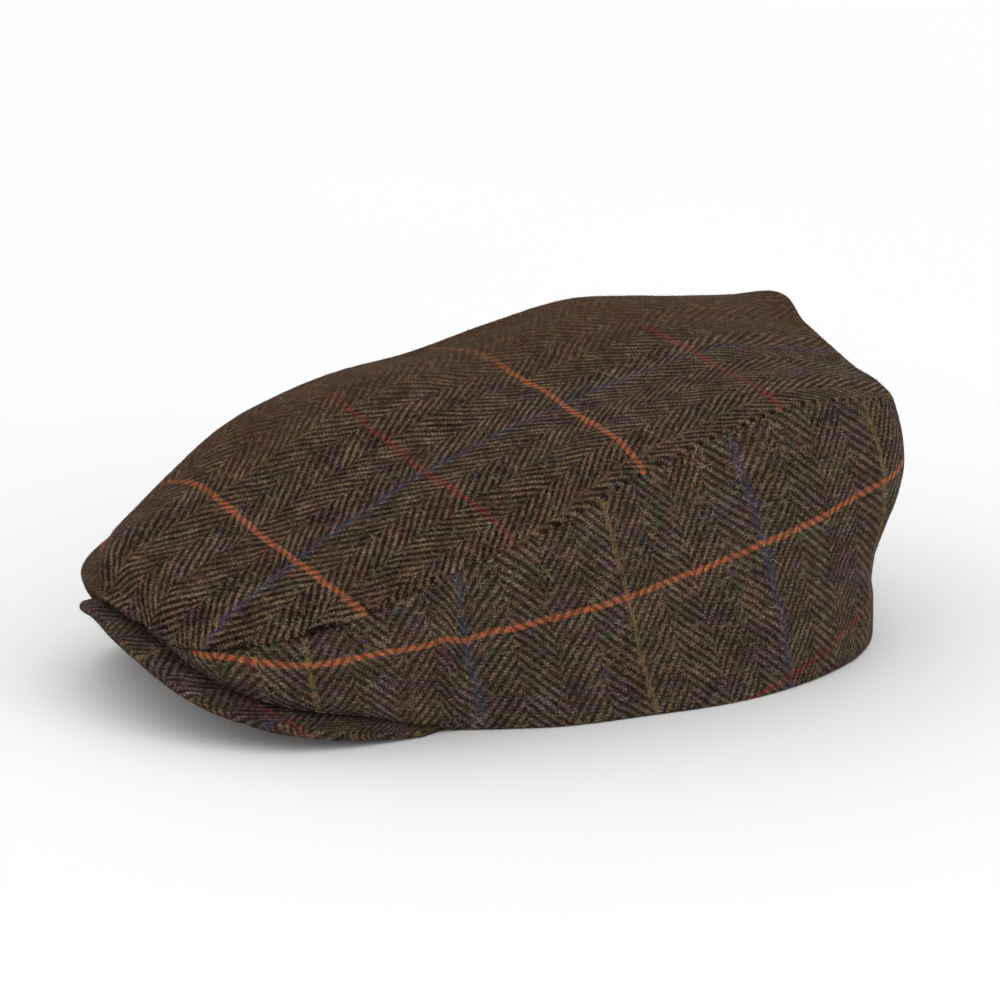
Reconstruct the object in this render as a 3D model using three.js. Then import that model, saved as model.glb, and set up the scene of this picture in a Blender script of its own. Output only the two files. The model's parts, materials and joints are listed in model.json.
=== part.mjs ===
import * as THREE from 'three';

// A flat cap of four sewn pieces, in millimetres. +Z is up and the rim rests at z = 0.
// +X is the wearer's left and the peak points along -Y.
// Shares in the tables: out is of half the width, along of the length, up of the height.

// Main sizes
const LENGTH = 275;
const WIDTH = 170;
const HEIGHT = 95;

// Cloth and the gaps between pieces. Each panel is trimmed back from its seams by SEAM_TRIM,
// and from its tip by TIP_TRIM. SEAM_ROOM is the share of a low wall that a seam's fold may fill.
const CLOTH = 2.0;
const SEAM_GAP = 0.3;
const SEAM_TRIM = 0.9 * SEAM_GAP;
const TIP_TRIM = 2 * SEAM_GAP;
const SEAM_ROOM = 0.6;
const PEAK_GAP = 0.5;

// Peak
const PEAK_THICKNESS = 3.2;
const PEAK_RIM = 6.5;
// The peak's plate stops at this share of its run, and the crown drops to the surface past it
const PEAK_END = 0.93;
const DROP_START = 0.94;

// Crown
// LIP is how high its front edge stands on the peak. The powers set how full the curves are:
// a higher one gives a flatter top and puts a wall's swell higher up.
const LIP = 2.4;
const DOME = 8;
const DOME_POWER = 2.4;
const SWELL_POWER = 1.8;
const DENT_FADE = 4;

// Facets along a panel and up its wall
const FRONT_STEPS = 14;
const REST_STEPS = 20;
const REAR_STEPS = 7;
const WALL_STEPS = 8;
const PEAK_ACROSS = 20;
const PEAK_STEPS = 3;

// The outer edge of the peak from its middle to its corner.
// left and right are the heights of its underside on each half.
const PEAK_ROWS = [
  { at: 0.00, out: 0.000, along: -0.4945, left: 0.263, right: 0.263 },
  { at: 0.14, out: 0.235, along: -0.4890, left: 0.223, right: 0.284 },
  { at: 0.30, out: 0.470, along: -0.4620, left: 0.146, right: 0.212 },
  { at: 0.46, out: 0.640, along: -0.4180, left: 0.090, right: 0.120 },
  { at: 0.62, out: 0.755, along: -0.3650, left: 0.055, right: 0.070 },
  { at: 0.78, out: 0.805, along: -0.2980, left: 0.024, right: 0.030 },
  { at: 0.90, out: 0.812, along: -0.2350, left: 0.006, right: 0.006 },
  { at: 1.00, out: 0.800, along: -0.1640, left: 0.000, right: 0.000 },
];

// The brow edge behind it. rise is how far it stands above the outer edge.
const BROW_ROWS = [
  { at: 0.00, out: 0.00, along: -0.290, rise: 0.070 },
  { at: 0.14, out: 0.18, along: -0.285, rise: 0.065 },
  { at: 0.30, out: 0.38, along: -0.262, rise: 0.050 },
  { at: 0.46, out: 0.54, along: -0.236, rise: 0.035 },
  { at: 0.62, out: 0.66, along: -0.212, rise: 0.020 },
  { at: 0.78, out: 0.73, along: -0.192, rise: 0.010 },
  { at: 0.90, out: 0.75, along: -0.176, rise: 0.003 },
  { at: 1.00, out: 0.76, along: -0.150, rise: 0.000 },
];

// How thick the peak is, and how far the crown stands in from its edge, each as a share of its full value
const RIM_ROWS = [
  { at: 0.00, thick: 1.00, left: 0.85, right: 0.85 },
  { at: 0.14, thick: 1.00, left: 1.00, right: 0.55 },
  { at: 0.30, thick: 1.00, left: 1.00, right: 0.35 },
  { at: 0.50, thick: 1.00, left: 1.00, right: 0.50 },
  { at: 0.75, thick: 1.00, left: 1.00, right: 0.90 },
  { at: 0.90, thick: 0.75, left: 0.45, right: 0.45 },
  { at: 1.00, thick: 0.50, left: 0.00, right: 0.00 },
];

// Where the side panels start on the peak and where their bottom edge leaves it
const TIP_AT = 0.10;
const CORNER_AT = 0.36;
const SHOULDER_AT = 0.80;

// Bottom edge of a side panel behind the peak, lying on the surface
const REST_ROWS = [
  { at: 0.36, out: 0.800, along: -0.164 },
  { at: 0.41, out: 0.868, along: -0.116 },
  { at: 0.46, out: 0.945, along: -0.046 },
  { at: 0.53, out: 0.976, along: 0.051 },
  { at: 0.60, out: 0.994, along: 0.145 },
  { at: 0.68, out: 0.960, along: 0.225 },
  { at: 0.74, out: 0.880, along: 0.298 },
  { at: 0.80, out: 0.745, along: 0.370 },
  { at: 0.87, out: 0.545, along: 0.426 },
  { at: 0.94, out: 0.280, along: 0.462 },
  { at: 1.00, out: 0.000, along: 0.474 },
];

// The seam between top and side panels. lean pushes the left half forwards and the right half back.
const SEAM_ROWS = [
  { at: 0.00, out: 0.165, along: -0.468, left: 0.295, right: 0.330, lean: 0.000 },
  { at: 0.06, out: 0.385, along: -0.450, left: 0.310, right: 0.390, lean: 0.000 },
  { at: 0.12, out: 0.580, along: -0.410, left: 0.350, right: 0.415, lean: 0.000 },
  { at: 0.18, out: 0.725, along: -0.357, left: 0.405, right: 0.455, lean: 0.000 },
  { at: 0.25, out: 0.830, along: -0.296, left: 0.472, right: 0.535, lean: 0.000 },
  { at: 0.31, out: 0.888, along: -0.229, left: 0.558, right: 0.640, lean: 0.000 },
  { at: 0.37, out: 0.918, along: -0.156, left: 0.637, right: 0.720, lean: 0.000 },
  { at: 0.44, out: 0.929, along: -0.062, left: 0.712, right: 0.797, lean: 0.000 },
  { at: 0.52, out: 0.929, along: 0.038, left: 0.833, right: 0.834, lean: 0.000 },
  { at: 0.60, out: 0.918, along: 0.142, left: 0.929, right: 0.900, lean: 0.000 },
  { at: 0.68, out: 0.906, along: 0.247, left: 0.993, right: 0.950, lean: 0.000 },
  { at: 0.74, out: 0.882, along: 0.327, left: 0.979, right: 0.935, lean: 0.000 },
  { at: 0.80, out: 0.790, along: 0.409, left: 0.925, right: 0.908, lean: 0.006 },
  { at: 0.87, out: 0.550, along: 0.455, left: 0.925, right: 0.972, lean: 0.027 },
  { at: 0.94, out: 0.280, along: 0.460, left: 0.905, right: 0.930, lean: 0.014 },
  { at: 1.00, out: 0.000, along: 0.466, left: 0.900, right: 0.900, lean: 0.000 },
];

// How far each wall swells out below the seam, in cloth thicknesses
const SWELL_ROWS = [
  { at: 0.00, left: 0.0, right: 0.3 },
  { at: 0.06, left: 0.4, right: 1.8 },
  { at: 0.12, left: 0.8, right: 2.8 },
  { at: 0.18, left: 1.2, right: 2.0 },
  { at: 0.25, left: 1.4, right: 1.6 },
  { at: 0.31, left: 1.5, right: 1.5 },
  { at: 0.44, left: 1.4, right: 1.4 },
  { at: 0.52, left: 1.2, right: 1.2 },
  { at: 0.60, left: 1.2, right: 1.2 },
  { at: 0.68, left: 1.4, right: 1.4 },
  { at: 0.74, left: 1.8, right: 1.8 },
  { at: 0.80, left: 3.2, right: 2.4 },
  { at: 0.87, left: 3.4, right: 2.6 },
  { at: 0.94, left: 3.0, right: 2.4 },
  { at: 1.00, left: 2.2, right: 2.2 },
];

// How high the top panel stands above the chord between its seams, as a share of DOME,
// and where across it stands highest, from the right seam (0) to the left seam (1).
const DOME_ROWS = [
  { at: 0.00, rise: 0.10, crest: 0.50 },
  { at: 0.10, rise: 1.05, crest: 0.36 },
  { at: 0.28, rise: 1.15, crest: 0.34 },
  { at: 0.46, rise: 1.00, crest: 0.38 },
  { at: 0.62, rise: 0.50, crest: 0.62 },
  { at: 0.80, rise: 0.24, crest: 0.60 },
  { at: 0.92, rise: 0.08, crest: 0.50 },
  { at: 1.00, rise: 0.00, crest: 0.50 },
];

// Soft dents and fullness of the top panel: place across and along, reach each way, height in mm
const TOP_DENTS = [
  { across: 0.12, along: 0.62, wide: 0.20, long: 0.08, height: -1.6 },
  { across: 0.12, along: 0.90, wide: 0.16, long: 0.09, height: -5.5 },
  { across: 0.85, along: 0.50, wide: 0.20, long: 0.10, height: 1.5 },
];

// Soft dents and folds of a side panel: which side, place along and up, reach each way, depth in mm
const WALL_DENTS = [
  { side: 'left', along: 0.88, up: 0.38, wide: 0.10, tall: 0.18, height: -5.0 },
  { side: 'left', along: 0.62, up: 0.55, wide: 0.12, tall: 0.25, height: -1.2 },
];

const PANEL_COLOUR = '#4a3c30';
const PEAK_COLOUR = '#463a2f';

const half = WIDTH / 2;
const ribs = FRONT_STEPS + REST_STEPS + REAR_STEPS;
const shoulder = FRONT_STEPS + REST_STEPS;
const vec = (x, y, z) => new THREE.Vector3(x, y, z);

// A smooth curve through the rows of a table, read at one place
function read(rows, key, at) {
  const last = rows.length - 1;
  let i = 0;
  while (i < last - 1 && at > rows[i + 1].at) i += 1;
  const slope = (k) => {
    const a = Math.max(k - 1, 0);
    const b = Math.min(k + 1, last);
    return (rows[b][key] - rows[a][key]) / (rows[b].at - rows[a].at);
  };
  const span = rows[i + 1].at - rows[i].at;
  const t = Math.min(Math.max((at - rows[i].at) / span, 0), 1);
  const s = 1 - t;
  return rows[i][key] * (1 + 2 * t) * s * s + rows[i + 1][key] * (3 - 2 * t) * t * t
    + span * t * s * (slope(i) * s - slope(i + 1) * t);
}

// The top of the peak: at runs from its middle to its corner, inset is measured in from its outer edge
function peakOuter(side, at) {
  return vec(side.sign * half * read(PEAK_ROWS, 'out', at), LENGTH * read(PEAK_ROWS, 'along', at),
    HEIGHT * read(PEAK_ROWS, side.name, at));
}

function peakBrow(side, at) {
  const outer = peakOuter(side, at);
  return vec(side.sign * half * read(BROW_ROWS, 'out', at), LENGTH * read(BROW_ROWS, 'along', at),
    outer.z + HEIGHT * read(BROW_ROWS, 'rise', at));
}

const peakThick = (at) => PEAK_THICKNESS * read(RIM_ROWS, 'thick', at);

// A place on top of the peak where the crown stands, depth in from the crown's outside
function crownFoot(side, at, depth) {
  const outer = peakOuter(side, at);
  const brow = peakBrow(side, at);
  const inset = PEAK_RIM * read(RIM_ROWS, side.name, at) + depth;
  const place = outer.lerp(brow, inset / outer.distanceTo(brow));
  return place.add(vec(0, 0, peakThick(at) + PEAK_GAP));
}

const sides = [
  { name: 'left', sign: 1 },
  { name: 'right', sign: -1 },
];

// Where rib i of a side panel stands along it, from its tip (0) to the centre back (1)
function ribAt(i) {
  if (i <= FRONT_STEPS) return CORNER_AT * i / FRONT_STEPS;
  if (i <= shoulder) return CORNER_AT + (SHOULDER_AT - CORNER_AT) * (i - FRONT_STEPS) / REST_STEPS;
  return SHOULDER_AT + (1 - SHOULDER_AT) * (i - shoulder) / REAR_STEPS;
}

// Bottom edge of a side panel: on the peak in front, then on the surface it rests on
function bottomEdge(side, at, depth) {
  if (at >= CORNER_AT) {
    return vec(side.sign * half * read(REST_ROWS, 'out', at), LENGTH * read(REST_ROWS, 'along', at), 0);
  }
  const share = at / CORNER_AT;
  const peakAt = TIP_AT + (1 - TIP_AT) * share;
  const place = crownFoot(side, peakAt, depth);
  place.z *= 1 - THREE.MathUtils.smoothstep(peakAt, DROP_START, 1);
  return place;
}

function seamEdge(side, at) {
  const lean = side.sign * read(SEAM_ROWS, 'lean', at);
  return vec(side.sign * half * read(SEAM_ROWS, 'out', at), LENGTH * (read(SEAM_ROWS, 'along', at) - lean),
    HEIGHT * read(SEAM_ROWS, side.name, at));
}

const bump = (x, middle, reach) => Math.exp(-(((x - middle) / reach) ** 2));

// The outside of a side panel, row by row from the bottom edge to the seam
function wallOutside(side) {
  const rows = [];
  const bottoms = [];
  const tops = [];
  for (let i = 0; i <= ribs; i += 1) {
    bottoms.push(bottomEdge(side, ribAt(i), 0));
    tops.push(i === 0 ? bottoms[0].clone().add(vec(0, 0, LIP)) : seamEdge(side, ribAt(i)));
  }
  for (let j = 0; j <= WALL_STEPS; j += 1) {
    const up = j / WALL_STEPS;
    const row = [];
    for (let i = 0; i <= ribs; i += 1) {
      const at = ribAt(i);
      const run = bottoms[Math.min(i + 1, ribs)].clone().sub(bottoms[Math.max(i - 1, 0)]);
      const out = i === ribs ? vec(0, 1, 0) : vec(run.y * side.sign, -run.x * side.sign, 0).normalize();
      let swell = CLOTH * read(SWELL_ROWS, side.name, at) * Math.sin(Math.PI * up ** SWELL_POWER);
      for (const dent of WALL_DENTS.filter((d) => d.side === side.name)) {
        const fade = Math.min(1, DENT_FADE * up);
        swell += dent.height * bump(at, dent.along, dent.wide) * bump(up, dent.up, dent.tall) * fade;
      }
      row.push(bottoms[i].clone().lerp(tops[i], up).addScaledVector(out, swell));
    }
    rows.push(row);
  }
  return rows;
}

const walls = sides.map(wallOutside);

// The outside of the top panel between the two seams: a blend of its four edges, domed
function topOutside() {
  const steps = 2 * REAR_STEPS;
  const seam = walls.map((wall) => wall[WALL_STEPS]);
  const rear = (j) => (j <= REAR_STEPS ? seam[1][shoulder + j] : seam[0][ribs - (j - REAR_STEPS)]);
  const rows = [];
  const lip = [];
  const front = [];
  for (let j = 0; j <= steps; j += 1) {
    const u = j / steps;
    const side = sides[u < 0.5 ? 1 : 0];
    const place = crownFoot(side, TIP_AT * Math.abs(2 * u - 1), 0);
    lip.push(place);
    front.push(place.clone().add(vec(0, 0, LIP)));
  }
  rows.push(lip);
  for (let i = 0; i <= shoulder; i += 1) {
    const v = i / shoulder;
    const row = [];
    const dome = DOME * read(DOME_ROWS, 'rise', v);
    const crest = read(DOME_ROWS, 'crest', v);
    for (let j = 0; j <= steps; j += 1) {
      const u = j / steps;
      const ends = seam[1][i].clone().lerp(seam[0][i], u);
      const long = front[j].clone().lerp(rear(j), v);
      const corners = front[0].clone().lerp(front[steps], u).lerp(rear(0).clone().lerp(rear(steps), u), v);
      const place = ends.add(long).sub(corners);
      const power = Math.log(0.5) / Math.log(crest);
      const arch = 1 - Math.abs(2 * u ** power - 1) ** DOME_POWER;
      if (i > 0 && i < shoulder && j > 0 && j < steps) {
        place.z += dome * arch;
        for (const dent of TOP_DENTS) {
          place.z += dent.height * bump(u, dent.across, dent.wide) * bump(v, dent.along, dent.long) * arch;
        }
      }
      row.push(place);
    }
    rows.push(row);
  }
  return rows;
}

// Unit normals of a grid of points, turned to the side given by flip
function normals(grid, flip) {
  return grid.map((row, r) => row.map((_, c) => {
    const up = grid[Math.min(r + 1, grid.length - 1)][c].clone().sub(grid[Math.max(r - 1, 0)][c]);
    const over = row[Math.min(c + 1, row.length - 1)].clone().sub(row[Math.max(c - 1, 0)]);
    return over.cross(up).multiplyScalar(flip).normalize();
  }));
}

// A closed sheet of cloth between an outer and an inner grid of points
function closedSheet(name, colour, outer, inner) {
  const rows = outer.length;
  const cols = outer[0].length;
  const points = [...outer.flat(), ...inner.flat()];
  const faces = [];
  const at = (layer, r, c) => layer * rows * cols + r * cols + c;
  const quad = (a, b, c, d) => faces.push(a, b, c, a, c, d);
  for (let r = 0; r + 1 < rows; r += 1) {
    for (let c = 0; c + 1 < cols; c += 1) {
      quad(at(0, r, c), at(0, r, c + 1), at(0, r + 1, c + 1), at(0, r + 1, c));
      quad(at(1, r, c), at(1, r + 1, c), at(1, r + 1, c + 1), at(1, r, c + 1));
    }
  }
  for (let c = 0; c + 1 < cols; c += 1) {
    quad(at(0, 0, c + 1), at(0, 0, c), at(1, 0, c), at(1, 0, c + 1));
    quad(at(0, rows - 1, c), at(0, rows - 1, c + 1), at(1, rows - 1, c + 1), at(1, rows - 1, c));
  }
  for (let r = 0; r + 1 < rows; r += 1) {
    quad(at(0, r, 0), at(0, r + 1, 0), at(1, r + 1, 0), at(1, r, 0));
    quad(at(0, r + 1, cols - 1), at(0, r, cols - 1), at(1, r, cols - 1), at(1, r + 1, cols - 1));
  }
  let volume = 0;
  for (let i = 0; i < faces.length; i += 3) {
    const [a, b, c] = [points[faces[i]], points[faces[i + 1]], points[faces[i + 2]]];
    volume += a.dot(b.clone().cross(c));
  }
  if (volume < 0) {
    for (let i = 0; i < faces.length; i += 3) [faces[i + 1], faces[i + 2]] = [faces[i + 2], faces[i + 1]];
  }
  const geometry = new THREE.BufferGeometry();
  geometry.setAttribute('position', new THREE.Float32BufferAttribute(points.flatMap((p) => p.toArray()), 3));
  geometry.setIndex(faces);
  const material = new THREE.MeshStandardMaterial({ color: colour, roughness: 0.95, metalness: 0 });
  const mesh = new THREE.Mesh(geometry, material);
  mesh.name = name;
  return mesh;
}

// Moves a point a set distance towards its neighbour
function draw(point, neighbour, by) {
  return point.clone().addScaledVector(neighbour.clone().sub(point).normalize(), by);
}

const top = topOutside();
const topNormals = normals(top, 1);
const wallNormals = sides.map((side, k) => normals(walls[k], side.sign));

// The inner side of the seam, shared by the two panels that meet there
function innerSeam(k, i) {
  const side = sides[k];
  const steps = 2 * REAR_STEPS;
  const column = side.sign > 0 ? steps : 0;
  const rear = i - shoulder;
  const topNormal = rear <= 0 ? topNormals[i + 1][column]
    : topNormals[shoulder + 1][side.sign > 0 ? steps - rear : rear];
  const wallNormal = wallNormals[k][WALL_STEPS][i];
  const both = topNormal.clone().add(wallNormal);
  if (i === ribs) both.x = 0;
  const shift = both.multiplyScalar(-CLOTH / (1 + topNormal.dot(wallNormal)));
  const seam = walls[k][WALL_STEPS][i];
  const room = SEAM_ROOM * (seam.z - walls[k][0][i].z);
  shift.z = Math.max(shift.z, -room);
  return seam.clone().add(shift);
}

const innerSeams = sides.map((side, k) => walls[k][0].map((_, i) => innerSeam(k, i)));

function sidePanel(side, k) {
  const outer = walls[k].map((row) => row.map((p) => p.clone()));
  const inner = outer.map(() => []);
  for (let i = 0; i <= ribs; i += 1) {
    const at = ribAt(i);
    const flat = wallNormals[k][0][i].clone().setZ(0).normalize();
    if (i === ribs) flat.set(0, 1, 0);
    const bottom = i < FRONT_STEPS ? bottomEdge(side, at, CLOTH)
      : outer[0][i].clone().addScaledVector(flat, -CLOTH);
    const topPoint = innerSeams[k][i];
    const outerBottom = outer[0][i];
    const outerTop = outer[WALL_STEPS][i];
    for (let j = 0; j <= WALL_STEPS; j += 1) {
      const up = j / WALL_STEPS;
      const chord = outerBottom.clone().lerp(outerTop, up);
      const swell = outer[j][i].clone().sub(chord);
      inner[j].push(bottom.clone().lerp(topPoint, up).add(swell));
    }
  }
  for (const grid of [outer, inner]) {
    for (let i = 0; i <= ribs; i += 1) {
      grid[WALL_STEPS][i] = draw(grid[WALL_STEPS][i], grid[WALL_STEPS - 1][i], SEAM_TRIM);
    }
    for (let j = 0; j <= WALL_STEPS; j += 1) {
      grid[j][ribs] = draw(grid[j][ribs], grid[j][ribs - 1], SEAM_GAP / 2);
      grid[j][0] = draw(grid[j][0], grid[j][1], TIP_TRIM);
    }
  }
  return closedSheet(`side_panel_${side.name}`, PANEL_COLOUR, outer, inner);
}

function topPanel() {
  const steps = 2 * REAR_STEPS;
  const outer = top.map((row) => row.map((p) => p.clone()));
  const inward = (point, r, c) => point.clone().addScaledVector(topNormals[r][c], -CLOTH);
  const inner = outer.map((row, r) => row.map((point, c) => inward(point, r, c)));
  for (let i = 0; i <= shoulder; i += 1) {
    inner[i + 1][0] = innerSeams[1][i].clone();
    inner[i + 1][steps] = innerSeams[0][i].clone();
  }
  for (let j = 1; j <= REAR_STEPS; j += 1) {
    inner[shoulder + 1][j] = innerSeams[1][shoulder + j].clone();
    inner[shoulder + 1][steps - j] = innerSeams[0][shoulder + j].clone();
  }
  for (let j = 0; j <= steps; j += 1) {
    const side = sides[2 * j < steps ? 1 : 0];
    const place = crownFoot(side, TIP_AT * Math.abs(2 * j / steps - 1), CLOTH);
    inner[0][j] = place;
    if (j > 0 && j < steps) inner[1][j] = place.clone().setZ(place.z + LIP - SEAM_ROOM * CLOTH);
  }
  for (const grid of [outer, inner]) {
    for (let i = 0; i < grid.length; i += 1) {
      grid[i][0] = draw(grid[i][0], grid[i][1], SEAM_TRIM);
      grid[i][steps] = draw(grid[i][steps], grid[i][steps - 1], SEAM_TRIM);
    }
    for (let j = 0; j <= steps; j += 1) {
      grid[shoulder + 1][j] = draw(grid[shoulder + 1][j], grid[shoulder][j], SEAM_TRIM);
    }
  }
  return closedSheet('top_panel', PANEL_COLOUR, outer, inner);
}

function peak() {
  const rows = [];
  const under = [];
  for (let j = 0; j <= PEAK_STEPS; j += 1) {
    const row = [];
    const low = [];
    for (let i = -PEAK_ACROSS; i <= PEAK_ACROSS; i += 1) {
      const side = sides[i < 0 ? 1 : 0];
      const at = PEAK_END * Math.abs(i) / PEAK_ACROSS;
      const outer = peakOuter(side, at);
      const place = outer.clone().lerp(peakBrow(side, at), j / PEAK_STEPS);
      low.push(place);
      row.push(place.clone().add(vec(0, 0, peakThick(at))));
    }
    rows.push(row);
    under.push(low);
  }
  return closedSheet('peak', PEAK_COLOUR, rows, under);
}

const cap = new THREE.Group();
cap.name = 'flat_cap';
cap.add(topPanel(), ...sides.map(sidePanel), peak());
// The origin is the middle of the cap's box, on the surface it rests on
const box = new THREE.Box3().setFromObject(cap);
cap.position.y = -(box.min.y + box.max.y) / 2;
export default cap;
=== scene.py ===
# %% [markdown]
# # A flat cap in checked herringbone tweed
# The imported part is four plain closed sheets: a top panel, two side panels and a peak.
# Here each one is drawn again as real cloth. The panels are finer, their seam edges roll over,
# the cloth puckers and slumps a little, and a woven material with loose fibres covers them.
# Lengths are in millimetres up to the finished mesh, because a cap is cut in millimetres.

import json
import math
from types import SimpleNamespace

import bpy
import numpy as np
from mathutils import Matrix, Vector
from mathutils.kdtree import KDTree

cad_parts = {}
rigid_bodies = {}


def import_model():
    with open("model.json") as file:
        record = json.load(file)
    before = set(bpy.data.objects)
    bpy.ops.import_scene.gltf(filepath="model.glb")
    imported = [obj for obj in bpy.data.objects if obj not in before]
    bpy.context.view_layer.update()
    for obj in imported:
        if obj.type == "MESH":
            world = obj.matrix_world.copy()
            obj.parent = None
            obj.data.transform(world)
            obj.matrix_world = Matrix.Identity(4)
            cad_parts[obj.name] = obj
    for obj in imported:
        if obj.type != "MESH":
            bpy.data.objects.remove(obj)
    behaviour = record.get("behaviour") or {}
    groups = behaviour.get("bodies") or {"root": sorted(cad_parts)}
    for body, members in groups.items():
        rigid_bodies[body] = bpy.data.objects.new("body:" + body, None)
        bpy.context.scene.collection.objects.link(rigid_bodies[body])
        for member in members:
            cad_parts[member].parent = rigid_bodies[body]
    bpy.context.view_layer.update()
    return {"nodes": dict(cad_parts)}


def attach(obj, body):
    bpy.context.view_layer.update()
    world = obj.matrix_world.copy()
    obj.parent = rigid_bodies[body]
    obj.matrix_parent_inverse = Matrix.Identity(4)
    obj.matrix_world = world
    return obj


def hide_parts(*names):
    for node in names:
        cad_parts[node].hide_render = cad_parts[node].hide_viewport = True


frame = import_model()
MM = 0.001
print("nodes in the frame:", sorted(frame["nodes"]))

# %% [markdown]
# ## The cut of the cap
# A flat cap is cut from flat cloth, so a few edge curves settle its whole shape: the rim of the
# peak, the brow behind it, the line where the walls rest and the seam between walls and top.
# They are the same short tables that the part was built from. A row's place along its edge is
# "at", and the other columns are shares of the half width, the length and the height.

# %% Main sizes
LENGTH = 275.0
WIDTH = 170.0
HEIGHT = 95.0
CLOTH = 2.0
LIP = 2.4
PEAK_GAP = 0.5
PEAK_THICKNESS = 3.2
PEAK_RIM = 6.5
PEAK_END = 0.93
DOME = 8.0
DOME_POWER = 2.4
SWELL_POWER = 1.8
DENT_FADE = 4.0
# Shares of the way along the peak or the seam
DROP_START = 0.94
TIP_AT = 0.10
CORNER_AT = 0.36
SHOULDER_AT = 0.80
HALF = WIDTH / 2
LEFT = 1
RIGHT = -1
print("pattern size in mm:", LENGTH, "long,", WIDTH, "wide,", HEIGHT, "high")


def table(columns, *rows):
    """Rows of numbers, kept as one array for each named column."""
    return {name: np.array(column) for name, column in zip(columns.split(), zip(*rows))}


# %% Edge tables of the peak
PEAK = table(
    "at out along left right",
    (0.00, 0.000, -0.4945, 0.263, 0.263),
    (0.14, 0.235, -0.4890, 0.223, 0.284),
    (0.30, 0.470, -0.4620, 0.146, 0.212),
    (0.46, 0.640, -0.4180, 0.090, 0.120),
    (0.62, 0.755, -0.3650, 0.055, 0.070),
    (0.78, 0.805, -0.2980, 0.024, 0.030),
    (0.90, 0.812, -0.2350, 0.006, 0.006),
    (1.00, 0.800, -0.1640, 0.000, 0.000),
)
BROW = table(
    "at out along rise",
    (0.00, 0.00, -0.290, 0.070),
    (0.14, 0.18, -0.285, 0.065),
    (0.30, 0.38, -0.262, 0.050),
    (0.46, 0.54, -0.236, 0.035),
    (0.62, 0.66, -0.212, 0.020),
    (0.78, 0.73, -0.192, 0.010),
    (0.90, 0.75, -0.176, 0.003),
    (1.00, 0.76, -0.150, 0.000),
)
RIM = table(
    "at thick left right",
    (0.00, 1.00, 0.85, 0.85),
    (0.14, 1.00, 1.00, 0.55),
    (0.30, 1.00, 1.00, 0.35),
    (0.50, 1.00, 1.00, 0.50),
    (0.75, 1.00, 1.00, 0.90),
    (0.90, 0.75, 0.45, 0.45),
    (1.00, 0.50, 0.00, 0.00),
)
print("rows of the peak's tables:", len(PEAK["at"]), len(BROW["at"]), len(RIM["at"]))

# %% Edge tables of the crown
REST = table(
    "at out along",
    (0.36, 0.800, -0.164),
    (0.41, 0.868, -0.116),
    (0.46, 0.945, -0.046),
    (0.53, 0.976, 0.051),
    (0.60, 0.994, 0.145),
    (0.68, 0.960, 0.225),
    (0.74, 0.880, 0.298),
    (0.80, 0.745, 0.370),
    (0.87, 0.545, 0.426),
    (0.94, 0.280, 0.462),
    (1.00, 0.000, 0.474),
)
SEAM = table(
    "at out along left right lean",
    (0.00, 0.165, -0.468, 0.295, 0.330, 0.000),
    (0.06, 0.385, -0.450, 0.310, 0.390, 0.000),
    (0.12, 0.580, -0.410, 0.350, 0.415, 0.000),
    (0.18, 0.725, -0.357, 0.405, 0.455, 0.000),
    (0.25, 0.830, -0.296, 0.472, 0.535, 0.000),
    (0.31, 0.888, -0.229, 0.558, 0.640, 0.000),
    (0.37, 0.918, -0.156, 0.637, 0.720, 0.000),
    (0.44, 0.929, -0.062, 0.712, 0.797, 0.000),
    (0.52, 0.929, 0.038, 0.833, 0.834, 0.000),
    (0.60, 0.918, 0.142, 0.929, 0.900, 0.000),
    (0.68, 0.906, 0.247, 0.993, 0.950, 0.000),
    (0.74, 0.882, 0.327, 0.979, 0.935, 0.000),
    (0.80, 0.790, 0.409, 0.925, 0.908, 0.006),
    (0.87, 0.550, 0.455, 0.925, 0.972, 0.027),
    (0.94, 0.280, 0.460, 0.905, 0.930, 0.014),
    (1.00, 0.000, 0.466, 0.900, 0.900, 0.000),
)
SWELL = table(
    "at left right",
    (0.00, 0.0, 0.3),
    (0.06, 0.4, 1.8),
    (0.12, 0.8, 2.8),
    (0.18, 1.2, 2.0),
    (0.25, 1.4, 1.6),
    (0.31, 1.5, 1.5),
    (0.44, 1.4, 1.4),
    (0.52, 1.2, 1.2),
    (0.60, 1.2, 1.2),
    (0.68, 1.4, 1.4),
    (0.74, 1.8, 1.8),
    (0.80, 3.2, 2.4),
    (0.87, 3.4, 2.6),
    (0.94, 3.0, 2.4),
    (1.00, 2.2, 2.2),
)
RISE = table(
    "at rise crest",
    (0.00, 0.10, 0.50),
    (0.10, 1.05, 0.36),
    (0.28, 1.15, 0.34),
    (0.46, 1.00, 0.38),
    (0.62, 0.50, 0.62),
    (0.80, 0.24, 0.60),
    (0.92, 0.08, 0.50),
    (1.00, 0.00, 0.50),
)
# Where the seam's place falls for a share of the way along the top panel
PACE = table("at seam", (0.0, 0.0), (0.41, CORNER_AT), (1.0, SHOULDER_AT))
TOP_DENTS = table(
    "across along wide long height",
    (0.12, 0.62, 0.20, 0.08, -1.6),
    (0.12, 0.90, 0.16, 0.09, -5.5),
    (0.85, 0.50, 0.20, 0.10, 1.5),
)
WALL_DENTS = table(
    "side along up wide tall height",
    (LEFT, 0.88, 0.38, 0.10, 0.18, -5.0),
    (LEFT, 0.62, 0.55, 0.12, 0.25, -1.2),
)
print("rows of the seam:", len(SEAM["at"]))
print("dents in the top and the walls:", len(TOP_DENTS["along"]), len(WALL_DENTS["along"]))

# %% [markdown]
# ## Curves through the tables
# A cutter joins a few measured marks with a French curve. The same is done here: a smooth curve
# goes through the rows, with each slope taken from the rows beside it.

# %% Curves and edges


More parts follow.
